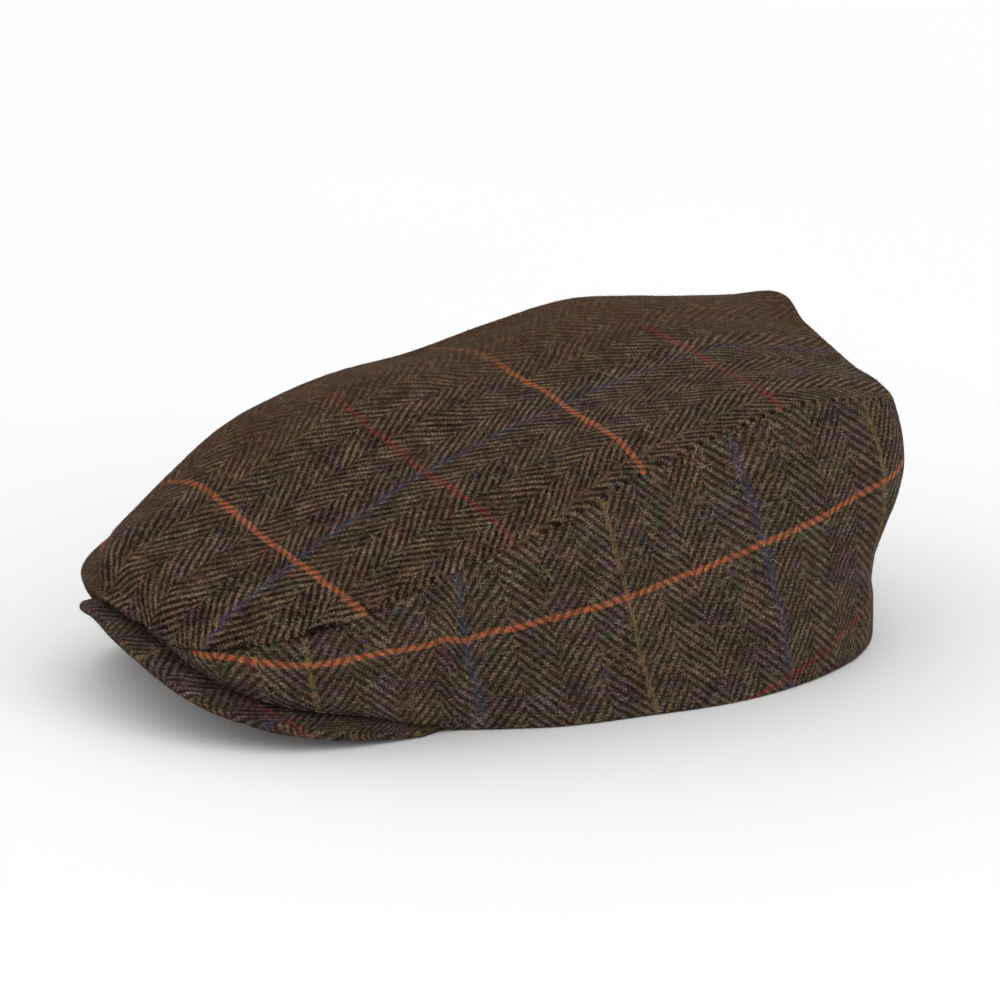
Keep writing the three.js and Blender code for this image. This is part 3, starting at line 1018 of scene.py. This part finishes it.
def yarn_places(g):
    """Places across (s) and along (t) the cloth in millimetres, with the drift of real yarn."""
    place = g.node("ShaderNodeUVMap", {"uv_map": "cloth"}).outputs[0]
    split = g.node("ShaderNodeSeparateXYZ", values={0: place})
    mm = 1 / UV_PER_MM
    s, t = Value(g, split.outputs[0]) * mm, Value(g, split.outputs[1]) * mm
    for reach, scale_across, layer_across, scale_along, layer_along in YARN_DRIFT:
        s = s + (g.noise(g.join(s, t, layer_across), scale_across) - 0.5) * reach
        t = t + (g.noise(g.join(s, t, layer_along), scale_along) - 0.5) * reach
    return s, t


def weave(g, pick_size, crisp):
    """The weave rule. pale is 1 where the pale crosswise yarn is on top, and 0 elsewhere."""
    s, t = yarn_places(g)
    turn = g.math("PINGPONG", s, COLUMN)
    odd = g.math("FLOORED_MODULO", g.math("FLOOR", s / COLUMN), 2.0)
    pick, end = t / pick_size, s / END
    row, lane = g.math("FLOOR", pick), g.math("FLOOR", end)
    stair = pick * (1 - STAIR) + row * STAIR
    phase = (stair - turn / END) / FLOATS + odd * 0.5
    ragged = g.noise(g.join(s * 1.3, t * 1.3, 25.0), 1.0, 4.0) - 0.5
    twill = g.math("SINE", phase * (2 * math.pi) + ragged * 2.4)
    depth = g.ramp(g.noise(g.join(s, t, 17.0), 0.16, 2.0), 0.3, 0.7)
    pale = g.ramp(twill, -crisp, crisp + 0.1) * (0.6 + 0.4 * depth)
    across_pick = g.math("SINE", g.math("FRACT", pick) * math.pi)
    across_end = g.math("SINE", g.math("FRACT", end) * math.pi)
    relief = across_pick * pale + across_end * (1 - pale)
    return SimpleNamespace(
        s=s, t=t, row=row, lane=lane, ragged=ragged, twill=twill, pale=pale, relief=relief
    )


print("a rib repeats every", FLOATS * PICK, "mm along the cloth")

# %% [markdown]
# ## Mottled wool
# Each yarn is spun from dyed fibres, so it has its own tone, which drifts along it. Single fibres
# are lighter and darker than the yarn, and the whole cloth is a little uneven in patches. Bright
# flecks of other colours are spun in. The third number of each noise place picks a layer of the
# noise, so that no two of these patterns match.

# %% Yarn colours
DARK_YARN = colour(48, 35, 26)
PALE_YARN = colour(101, 86, 75)
OLIVE_YARN = colour(84, 77, 62)
# How strongly patches and tufts change the tone, beside the ribs' own share
PATCH_TONE = 1.5
TUFT_TONE = 1.3
# For red, green and blue: which noise layer tints the cloth, and how strongly
TINT_DRIFT = ((40.0, 0.9), (50.0, 0.75), (60.0, 1.1))


def mottle(g, w):
    """Adds to the weave what all its colours share: fibres, tufts, patches and specks."""
    w.grain = g.noise(g.join(w.s * 1.9, w.t * 1.6, 31.0), 1.0, 4.0)
    w.tufts = g.noise(g.join(w.s, w.t, 37.0), 0.75, 4.0) - 0.5
    w.patches = g.noise(g.join(w.s, w.t, 27.0), 0.11, 4.0) - 0.5
    w.speck = g.chance(g.join(g.math("FLOOR", w.s / 0.9 + w.row * 0.37), w.row))


def yarns(g, w, level, ribs):
    """The yarn's colour on top. level dims red, green and blue as painted shade; ribs deepens the
    ribs.
    """
    crosswise = g.noise(g.join(w.s * 0.35, w.row * 3.7), 1.0, 3.0)
    lengthwise = g.noise(g.join(w.lane * 3.1, w.t * 0.35, 4.0), 1.0, 3.0)
    pale_yarn = g.blend(PALE_YARN, OLIVE_YARN, g.ramp(crosswise, 0.45, 0.75))
    base = g.blend(DARK_YARN, pale_yarn, w.pale)
    # 0.55 * relief darkens each float towards its edges: painted shade in the dips between the
    # yarns
    tone = 0.50 + 0.55 * w.relief + 0.9 * (w.speck - 0.5) * (0.35 + 0.65 * w.pale)
    tone = tone * (0.7 + 0.6 * (crosswise * w.pale + lengthwise * (1 - w.pale)))
    tone = tone * (0.2 + 1.6 * g.ramp(w.grain, 0.25, 0.80))
    uneven = (PATCH_TONE + ribs) * w.patches + (TUFT_TONE + ribs) * w.tufts
    tone = tone * (1 + uneven + ribs * (w.pale - 0.5))
    tints = []
    # level dims each channel here: painted shade for copies of the tweed that should read darker
    for share, (layer, reach) in zip(level, TINT_DRIFT):
        drift = g.noise(g.join(w.s, w.t, layer), 0.13, 3.0) - 0.5
        tints.append(tone * share * (1 + reach * drift))
    return g.blend(base, g.join(*tints), 1.0, "MULTIPLY")


print("noise layers that tint the wool:", len(TINT_DRIFT))

# %% Flecks
FLECK_LENGTH = 2.3
# Chances between which a float turns from plain to flecked, so about one float in ten is
FLECK_CHANCE = (0.86, 0.95)
FLECK_STRENGTH = 0.42
FLECKS = {
    0.00: colour(50, 72, 48),
    0.20: colour(48, 74, 80),
    0.38: colour(104, 44, 42),
    0.58: colour(78, 52, 88),
    0.76: colour(128, 106, 60),
    0.84: colour(136, 124, 102),
}


def flecked(g, w, base):
    """The cloth with flecks of other colours spun in."""
    spun = g.math("FLOOR", w.s / FLECK_LENGTH - w.row * 0.61)
    fleck = g.ramp(g.chance(g.join(spun, w.row, 9.0)), *FLECK_CHANCE) * FLECK_STRENGTH
    ramp = g.node("ShaderNodeValToRGB")
    ramp.color_ramp.interpolation = "CONSTANT"
    stops = ramp.color_ramp.elements
    while len(stops) < len(FLECKS):
        stops.new(1.0)
    for stop, (position, tint) in zip(stops, FLECKS.items()):
        stop.position = position
        stop.color = tint
    g.feed(ramp.inputs[0], g.chance(g.join(spun, w.row, 21.0)))
    return g.blend(base, ramp.outputs[0], fleck * (0.3 + 0.7 * g.ramp(w.grain, 0.35, 0.65)))


print("fleck colours:", len(FLECKS))

# %% [markdown]
# ## The check
# Single coloured yarns are laid 50 mm apart: orange and red run crosswise, and blue and yellow
# run lengthwise. A coloured yarn is bright where it lies on top and nearly hidden where it dives
# under, so each line is broken up by the twill.

# %% Check
CHECK = 50.0
# Half widths in mm: each line is full up to the first and gone from the second
ORANGE_BAND = (0.65, 1.45)
RED_BAND = (0.6, 1.5)
YELLOW_BAND = (0.5, 1.2)
BLUE_BAND = (0.8, 2.2)
BLUE_COVER = 0.6
ORANGE_YARN = colour(183, 82, 61)
AMBER_YARN = colour(178, 120, 72)
OCHRE_YARN = colour(132, 84, 50)
RED_YARN = colour(134, 44, 42)
BLUE_YARN = colour(46, 58, 90)
YELLOW_YARN = colour(158, 128, 80)


def checked(g, w, base, yellows):
    """The cloth with its four coloured lines. yellows is how strong the yellow ones are."""
    cross = g.math("PINGPONG", w.t, CHECK)
    length = g.math("PINGPONG", w.s, CHECK)
    under = 1 - w.pale
    woolly = 0.5 + 0.7 * g.ramp(w.grain, 0.25, 0.80)
    orange = (1 - g.ramp(cross + 0.4 * w.ragged, *ORANGE_BAND)) * (0.5 + 0.45 * w.pale) * woolly
    red = 1 - g.ramp(CHECK - cross + 0.5 * w.ragged, *RED_BAND)
    red = red * (0.15 + 0.5 * w.pale) * woolly
    dashes = g.noise(g.join(w.lane * 2.7, w.t * 0.4, 33.0), 1.0, 2.0)
    yellow = (1 - g.ramp(length + 0.5 * w.ragged, *YELLOW_BAND)) * under * woolly
    yellow = yellow * g.ramp(dashes, 0.35, 0.6) * yellows
    blue = (1 - g.ramp(CHECK - length + 1.2 * w.ragged, *BLUE_BAND)) * (0.2 + 0.6 * under)
    blue = blue * g.ramp(dashes, 0.3, 0.6) * BLUE_COVER
    bead = g.ramp(g.noise(g.join(w.s * 0.9, w.row * 2.3, 11.0)), 0.45, 0.66)
    orange_yarn = g.blend(ORANGE_YARN, AMBER_YARN, bead)
    orange_yarn = g.blend(OCHRE_YARN, orange_yarn, g.ramp(w.pale, 0.1, 0.6))
    base = g.blend(base, BLUE_YARN, blue)
    base = g.blend(base, YELLOW_YARN, yellow)
    base = g.blend(base, RED_YARN, red)
    return g.blend(base, orange_yarn, orange)


print("one line of the check every", CHECK, "mm each way")

# %% [markdown]
# ## Nap and finish
# Wool wears to a soft haze. On the far half of the top the nap hides the weave, so a haze colour
# covers it there. The surface is matt, with a faint sheen from the fibre ends, and a fine relief
# of ribs, yarns and fuzz catches the light.

# %% Cloth finish
HAZE = colour(71, 53, 39)
HAZE_SKEW = 0.3
HAZE_WANDER = 9
HAZE_COVER = 0.68
WORN_COVER = 0.15
RELIEF = {"Strength": 0.8, "Distance": 0.35 * MM}
CLOTH_SHADER = {
    "Specular IOR Level": 0.05,
    "Sheen Weight": 0.03,
    "Sheen Roughness": 0.6,
    "Sheen Tint": colour(190, 160, 130),
}


def hazed(g, w, base, level, hazy):
    """The cloth with its worn haze. Before the two places in hazy, nap hides the weave."""
    cover = g.ramp(g.noise(g.join(w.s, w.t, 15.0), 0.06, 3.0), 0.45, 0.75) * WORN_COVER
    if hazy:
        across = w.s - HAZE_SKEW * w.t + HAZE_WANDER * w.patches
        cover = cover + (1 - g.ramp(across, *hazy)) * HAZE_COVER
    # level dims the haze too, the same painted shade as the yarns
    haze = [light * share * (0.45 + 1.1 * w.grain) for light, share in zip(HAZE, level)]
    return g.blend(base, g.join(*haze), cover)


def tweed(name, level=(1, 1, 1), pick_size=PICK, crisp=CRISP, ribs=0.0, yellows=0.5, hazy=None):
    """The finished cloth as a material."""
    g = Graph(name)
    w = weave(g, pick_size, crisp)
    mottle(g, w)
    base = flecked(g, w, yarns(g, w, level, ribs))
    base = hazed(g, w, checked(g, w, base, yellows), level, hazy)
    g.feed(g.shader.inputs["Base Color"], base)
    g.feed(g.shader.inputs["Roughness"], 0.88 + 0.1 * w.speck)
    fuzz = g.noise(g.join(w.s, w.t, 2.0), 2.4, 4.0)
    height = 0.20 * w.twill + 0.30 * w.relief + 0.45 * fuzz
    relief = g.node("ShaderNodeBump", values={**RELIEF, "Height": height})
    g.feed(g.shader.inputs["Normal"], relief.outputs[0])
    for socket, value in CLOTH_SHADER.items():
        g.shader.inputs[socket].default_value = value
    return g.material


# The top panel's copy is dimmed by its level, most in green and blue: painted shade that darkens
# the top against the walls
top_tweed = tweed(
    "top_tweed",
    level=(0.93, 0.82, 0.73),
    pick_size=0.92,
    crisp=0.65,
    ribs=0.9,
    yellows=0.2,
    hazy=(-45, 10),
)
wall_tweed = tweed("wall_tweed")
# The far wall's copy is dimmed by its level: painted shade on the far side
far_wall_tweed = tweed("far_wall_tweed", level=(0.9, 0.9, 0.9), hazy=(-45, -5))
for piece, material in zip(cloth_pieces, (top_tweed, wall_tweed, far_wall_tweed)):
    piece.data.materials.append(material)
peak.data.materials.append(tweed("peak_tweed"))
print("nodes in the wall's tweed:", len(wall_tweed.node_tree.nodes))

# %% [markdown]
# ## Loose fibres
# Tweed is hairy. Short fibres stand off the face and blur its edges, a few long pale ones curl on
# top of it, and others lie over the seams. They are thin flat strips with a fixed random start.

# %% Fibre helpers
# A point low in the cap and a margin, in metres: faces that look away from the point are outside
CAP_HEART = (0, 0, 0.02)
FACING_MARGIN = -0.005
ROOT_LIFT = 0.05 * MM
FALL = 1.3
TIP_WIDTH = 0.35
FLOOR_CLEAR = 0.1 * MM


def outer_points(pieces, count, random):
    """Random places on the outer faces of some pieces, with their facings."""
    spots, facings = [], []
    meshes = [piece.data for piece in pieces]
    weights = np.array([sum(face.area for face in mesh.polygons) for mesh in meshes])
    shares = np.round(count * weights / weights.sum()).astype(int)
    for mesh, number in zip(meshes, shares):
        size = len(mesh.polygons)
        middle, facing, area = np.empty(size * 3), np.empty(size * 3), np.empty(size)
        mesh.polygons.foreach_get("center", middle)
        mesh.polygons.foreach_get("normal", facing)
        mesh.polygons.foreach_get("area", area)
        middle, facing = middle.reshape(-1, 3), facing.reshape(-1, 3)
        outside = (facing * (middle - CAP_HEART)).sum(axis=1) > FACING_MARGIN
        area = area * outside
        chosen = random.choice(size, number, p=area / area.sum())
        spots.append(middle[chosen])
        facings.append(facing[chosen])
    return np.concatenate(spots), np.concatenate(facings)


def strips(name, spots, facings, random, length, width, curl, lift, joints):
    """Thin curved strips that start on the cloth and bend over it."""
    count = len(spots)
    ahead = unit(np.cross(facings, unit(random.normal(size=(count, 3)))))
    step = random.uniform(*length, count)[:, None] / (joints - 1)
    bend = random.normal(0, curl, (count, joints))
    rise = random.uniform(*lift, count)[:, None]
    place = spots + facings * ROOT_LIFT
    line = [place]
    for j in range(1, joints):
        across = np.cross(facings, ahead)
        angle = bend[:, j : j + 1]
        ahead = unit(ahead * np.cos(angle) + across * np.sin(angle))
        share = j / (joints - 1)
        place = place + ahead * step + facings * rise * step * (1 - FALL * share)
        line.append(place)
    line = np.stack(line, axis=1)
    across = unit(np.cross(facings[:, None], np.gradient(line, axis=1)))
    taper = np.linspace(1, TIP_WIDTH, joints)[None, :, None]
    half = across * (random.uniform(*width, count)[:, None, None] / 2) * taper
    edge = np.stack([line - half, line + half], axis=2).reshape(-1, 3)
    edge[:, 2] = np.maximum(edge[:, 2], FLOOR_CLEAR)
    base = (np.arange(count) * joints * 2)[:, None] + (np.arange(joints - 1) * 2)[None]
    faces = np.stack([base, base + 1, base + 3, base + 2], axis=-1).reshape(-1, 4)
    mesh = bpy.data.meshes.new(name)
    mesh.from_pydata(edge.tolist(), [], faces.tolist())
    mesh.shade_smooth()
    piece = bpy.data.objects.new(name, mesh)
    bpy.context.collection.objects.link(piece)
    return piece


def fibre_wool(name, dark, pale, size):
    """Wool fibre, mottled from dark to pale."""
    g = Graph(name)
    where = g.node("ShaderNodeTexCoord").outputs["Object"]
    mottling = g.noise(where, size, 2.0)
    g.feed(g.shader.inputs["Base Color"], g.blend(dark, pale, g.ramp(mottling, 0.35, 0.65)))
    g.feed(g.shader.inputs["Roughness"], 0.7 + 0.2 * mottling)
    g.shader.inputs["Specular IOR Level"].default_value = 0.08
    return g.material


print("a fibre starts", round(ROOT_LIFT / MM, 2), "mm above the cloth")

# %% Nap and stray fibres
NAP_COUNT = 44000
STRAY_COUNT = 600
random = np.random.default_rng(7)
covers = cloth_pieces + [peak]
spots, facings = outer_points(covers, NAP_COUNT, random)
nap = strips(
    "nap_fibres",
    spots,
    facings,
    random,
    length=(0.8 * MM, 2.4 * MM),
    width=(0.09 * MM, 0.16 * MM),
    curl=0.6,
    lift=(0.2, 0.9),
    joints=3,
)
nap.data.materials.append(
    fibre_wool("nap_wool", dark=colour(44, 34, 28), pale=colour(140, 116, 90), size=320)
)
spots, facings = outer_points(covers, STRAY_COUNT, random)
strays = strips(
    "stray_fibres",
    spots,
    facings,
    random,
    length=(2.0 * MM, 5.5 * MM),
    width=(0.07 * MM, 0.12 * MM),
    curl=0.55,
    lift=(0.05, 0.25),
    joints=10,
)
strays.data.materials.append(
    fibre_wool("stray_wool", dark=colour(120, 106, 84), pale=colour(196, 184, 152), size=90)
)
print("fibres:", NAP_COUNT, "short and", STRAY_COUNT, "long")

# %% Hairs over the seams
SEAM_COUNT = 700
SEAM_SPREAD = 0.5
SEAM_LEAN = 0.7


def nearest_points(piece, spots):
    """For each spot, the nearest point of a piece, so that no hair floats off the cloth."""
    vertices = piece.data.vertices
    tree = KDTree(len(vertices))
    for number, vertex in enumerate(vertices):
        tree.insert(vertex.co, number)
    tree.balance()
    return np.array([tree.find(spot)[0] for spot in spots])


side = random.choice((LEFT, RIGHT), SEAM_COUNT)
at = random.uniform(0.02, 1.0, SEAM_COUNT)
spots = np.where((side > 0)[:, None], seam_edge(LEFT, at), seam_edge(RIGHT, at))
spots = to_frame(spots + random.normal(0, SEAM_SPREAD, spots.shape))
seam_hairs = strips(
    "seam_hairs",
    nearest_points(cloth_pieces[0], spots),
    unit(points(SEAM_LEAN * side, 0, 1)),
    random,
    length=(0.8 * MM, 2.2 * MM),
    width=(0.07 * MM, 0.13 * MM),
    curl=0.6,
    lift=(-0.4, 0.1),
    joints=4,
)
seam_hairs.data.materials.append(
    fibre_wool("seam_wool", dark=colour(46, 35, 29), pale=colour(150, 130, 104), size=320)
)
print("seam hairs:", SEAM_COUNT)

# %% [markdown]
# ## Each piece in the frame
# The panels are sheets of cloth. Every piece rides on the part's one body, and the four covers
# take the place of its plain solids.

# %% Pieces
for piece, node, flat, area in panels:
    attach(piece, "root")
    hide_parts(node)
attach(peak, "root")
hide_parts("peak")
fibre_layers = (nap, strays, seam_hairs)
for piece in fibre_layers:
    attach(piece, "root")
print("pieces on the body:", len(covers), "covers and", len(fibre_layers), "layers of fibres")

# %% [markdown]
# ## Floor, light and camera
# The photo is a studio cut-out: very even light, no strong shadow, a white ground. A pale floor,
# a bright even sky and one large soft lamp on the near side give the same calm look. The camera
# stands at the photo's angle, far off and with a long lens, as in a catalogue picture.

# %% Studio
FLOOR_SIZE = 6.0
SKY_STRENGTH = 1.02


def make_floor():
    """A large pale floor."""
    half = FLOOR_SIZE / 2
    mesh = bpy.data.meshes.new("floor")
    corners = [(-half, -half, 0), (half, -half, 0), (half, half, 0), (-half, half, 0)]
    mesh.from_pydata(corners, [], [(0, 1, 2, 3)])
    floor = bpy.data.objects.new("floor", mesh)
    bpy.context.collection.objects.link(floor)
    g = Graph("pale_floor")
    where = g.node("ShaderNodeTexCoord").outputs["Object"]
    cloudy = g.noise(where, 3.0, 2.0)
    pale, white = colour(247, 247, 247), colour(250, 250, 250)
    g.feed(g.shader.inputs["Base Color"], g.blend(pale, white, cloudy))
    g.shader.inputs["Roughness"].default_value = 0.9
    mesh.materials.append(g.material)
    return floor


make_floor()


def lamp(name, place, aim, size, power):
    """A large soft square lamp."""
    data = bpy.data.lights.new(name, "AREA")
    data.shape = "SQUARE"
    data.size = size
    data.energy = power
    light = bpy.data.objects.new(name, data)
    light.location = place
    light.rotation_mode = "QUATERNION"
    light.rotation_quaternion = (Vector(aim) - Vector(place)).to_track_quat("-Z", "Y")
    bpy.context.collection.objects.link(light)
    return light


near_lamp = lamp("near_soft_lamp", place=(2.1, 0.9, 0.75), aim=(0, 0, 0.04), size=1.4, power=9)
world = bpy.data.worlds.new("even_sky")
bpy.context.scene.world = world
world.use_nodes = True
sky = world.node_tree.nodes["Background"]
sky.inputs["Color"].default_value = (1.0, 1.0, 1.0, 1.0)
sky.inputs["Strength"].default_value = SKY_STRENGTH
bpy.context.scene.view_settings.view_transform = "Standard"
print("lamp:", near_lamp.data.size, "m wide and", near_lamp.data.energy, "W")

# %% Camera
CAMERA_PLACE = (2.1743, -1.1175, 0.814)
CAMERA_AIM = (0.0525, -0.0221, 0.0692)
CAMERA_LENS = 285.3
FILM_WIDTH = 36.0
FAR_LIMIT = 20.0
camera_data = bpy.data.cameras.new("photo_camera")
camera_data.sensor_width = FILM_WIDTH
camera_data.lens = CAMERA_LENS
camera_data.clip_end = FAR_LIMIT
camera = bpy.data.objects.new("photo_camera", camera_data)
camera.location = CAMERA_PLACE
camera.rotation_mode = "QUATERNION"
camera.rotation_quaternion = (Vector(CAMERA_AIM) - Vector(CAMERA_PLACE)).to_track_quat("-Z", "Y")
bpy.context.collection.objects.link(camera)
bpy.context.scene.camera = camera
print("camera distance in m:", round((Vector(CAMERA_AIM) - Vector(CAMERA_PLACE)).length, 2))
